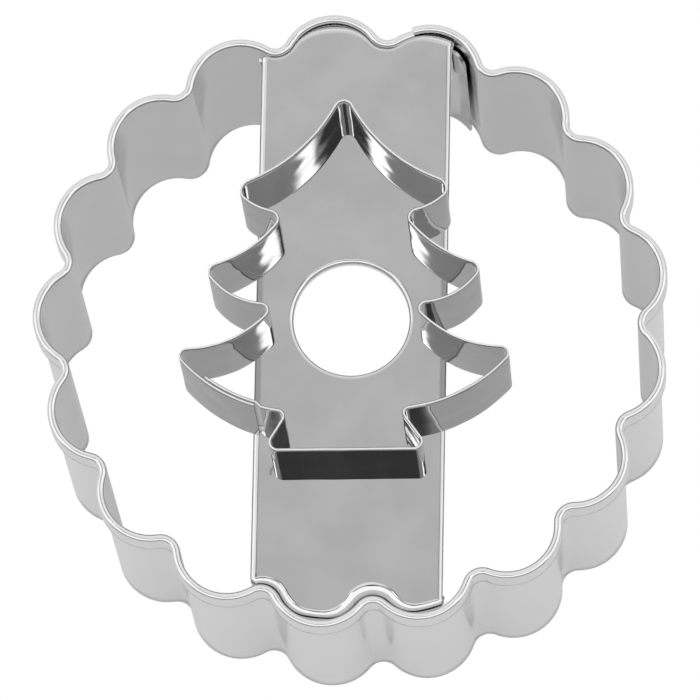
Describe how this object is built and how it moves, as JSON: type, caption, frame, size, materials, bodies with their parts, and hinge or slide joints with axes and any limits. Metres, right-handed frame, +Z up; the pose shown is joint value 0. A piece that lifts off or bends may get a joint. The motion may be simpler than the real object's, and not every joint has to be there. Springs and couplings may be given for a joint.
{
  "type": "linzer cookie cutter",
  "caption": "Two-sided linzer cookie cutter: a scalloped steel ring cuts the biscuit and a fir-tree strip on its bridge cuts the window.",
  "frame": {"origin": "on the ring's axis, at the ring's cutting edge", "axes": "+Z up along the ring's axis from its cutting edge to its hemmed rim and the tree, +Y along the bridge towards the tree's tip, +X to the right of the tree"},
  "size_m": [0.0497, 0.0498, 0.0302],
  "materials": {
    "ring_steel": "bright rolled stainless strip",
    "bridge_steel": "bright rolled stainless strip with a fine grain",
    "tree_steel": "bright rolled stainless strip",
    "weld_steel": "dull fused steel"
  },
  "bodies": {
    "root": {"ring_strip": "ring_steel", "bridge_plate": "bridge_steel", "tree_strip": "tree_steel", "ring_seam_weld_1": "weld_steel", "ring_seam_weld_2": "weld_steel", "back_tab_weld_1": "weld_steel", "back_tab_weld_2": "weld_steel", "front_tab_weld_1": "weld_steel", "front_tab_weld_2": "weld_steel", "tree_seam_weld_1": "weld_steel", "tree_seam_weld_2": "weld_steel", "tree_foot_weld_1": "weld_steel", "tree_foot_weld_2": "weld_steel", "tree_foot_weld_3": "weld_steel", "tree_foot_weld_4": "weld_steel", "tree_foot_weld_5": "weld_steel", "tree_foot_weld_6": "weld_steel"}
  },
  "joints": []
}
